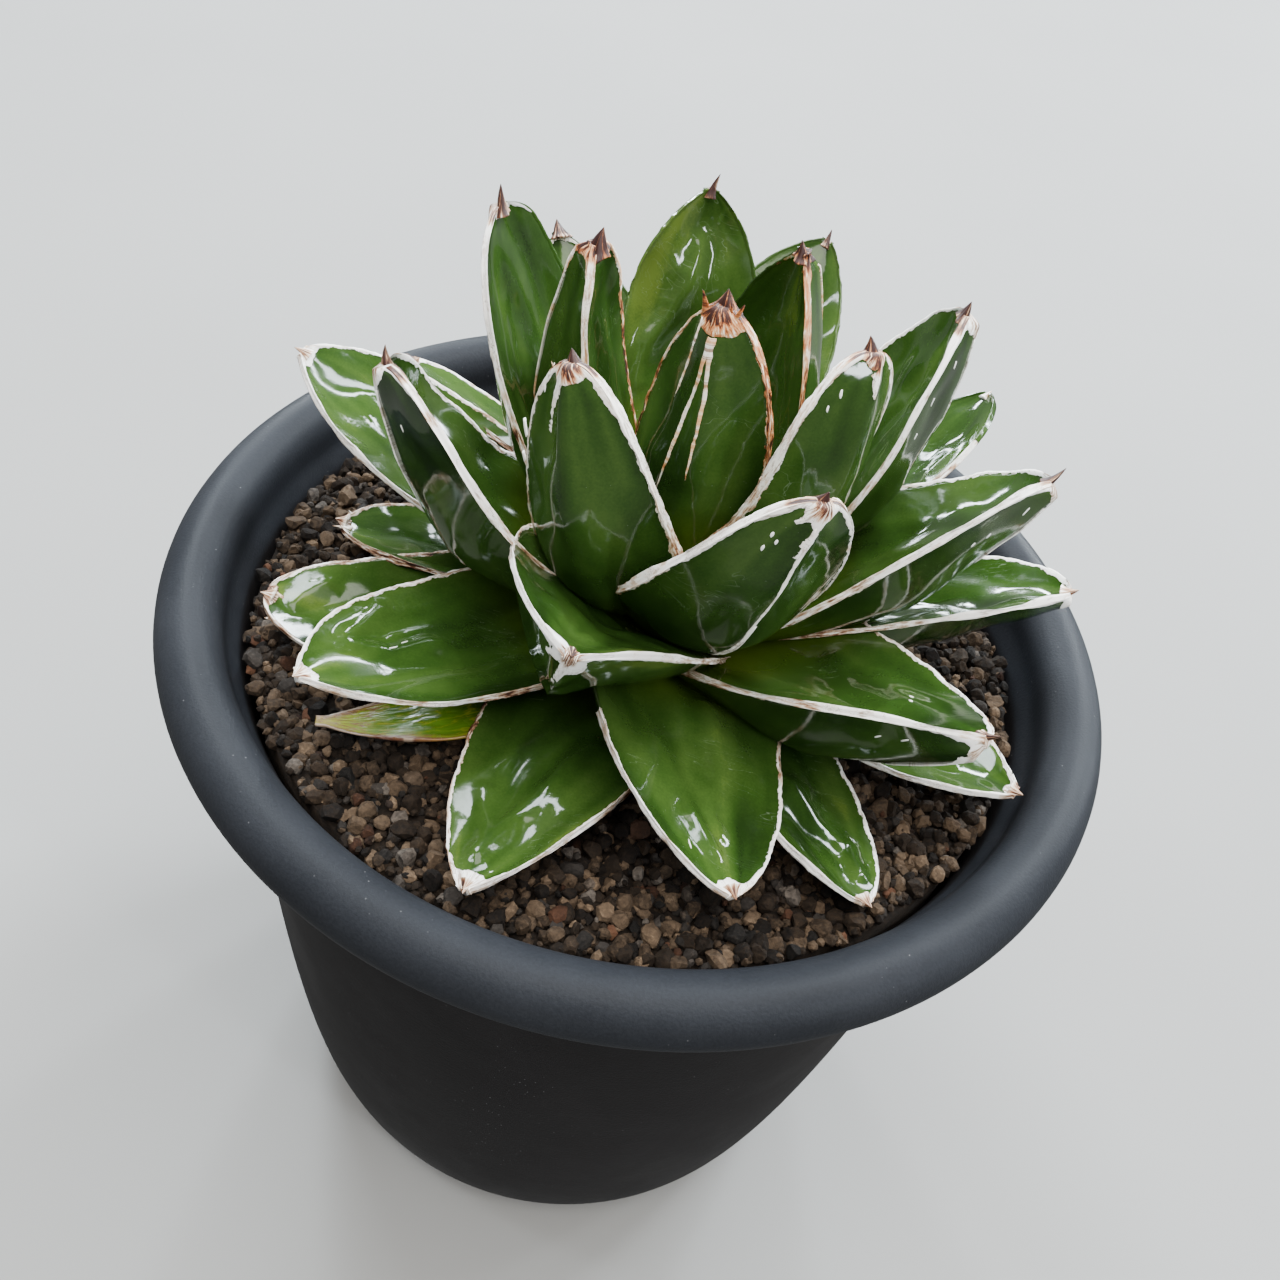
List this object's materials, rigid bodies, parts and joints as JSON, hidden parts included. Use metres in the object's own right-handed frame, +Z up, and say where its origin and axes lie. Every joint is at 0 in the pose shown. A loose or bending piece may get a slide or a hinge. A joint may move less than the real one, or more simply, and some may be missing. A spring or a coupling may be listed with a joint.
{
  "type": "queen victoria agave in a pot",
  "caption": "Round black pot of gravel with a rosette succulent: stiff, keeled dark green leaves, each with a white horny border, a white tip cap and a short dark spine.",
  "frame": {"origin": "centre of the pot's foot, on the surface that the pot stands on", "axes": "+Z up through the pot's axis; -Y is the side that faces the viewer"},
  "size_m": [0.18, 0.18, 0.2184],
  "materials": {
    "leaf": "waxy, glossy dark green leaf skin; gloss_plastic stands in for a leaf's wax",
    "border": "white horny leaf border, tan in places, with a dark red-brown spine",
    "stem": "yellow-green stem and closed heart of the rosette",
    "withered": "fading yellow-green leaf with a red-brown edge",
    "soil": "brown, tan and grey mineral grains of 3 to 4.5 mm",
    "pot": "black injection-moulded plastic, fine matt grain on the rim"
  },
  "bodies": {
    "root": {"stem": "stem", "leaf_01": "leaf", "border_01": "border", "leaf_02": "leaf", "border_02": "border", "leaf_03": "leaf", "border_03": "border", "leaf_04": "leaf", "border_04": "border", "leaf_05": "leaf", "border_05": "border", "leaf_06": "leaf", "border_06": "border", "leaf_07": "leaf", "border_07": "border", "leaf_08": "leaf", "border_08": "border", "leaf_09": "leaf", "border_09": "border", "leaf_10": "leaf", "border_10": "border", "leaf_11": "leaf", "border_11": "border", "leaf_12": "leaf", "border_12": "border", "leaf_13": "leaf", "border_13": "border", "leaf_14": "leaf", "border_14": "border", "leaf_15": "leaf", "border_15": "border", "leaf_16": "leaf", "border_16": "border", "leaf_17": "leaf", "border_17": "border", "leaf_18": "leaf", "border_18": "border", "leaf_19": "leaf", "border_19": "border", "leaf_20": "leaf", "border_20": "border", "leaf_21": "leaf", "border_21": "border", "leaf_22": "leaf", "border_22": "border", "leaf_23": "leaf", "border_23": "border", "leaf_24": "leaf", "border_24": "border", "leaf_25": "leaf", "border_25": "border", "leaf_26": "leaf", "border_26": "border", "leaf_27": "leaf", "border_27": "border", "leaf_28": "leaf", "border_28": "border", "withered_leaf": "withered", "soil": "soil", "pot": "pot"}
  },
  "joints": []
}
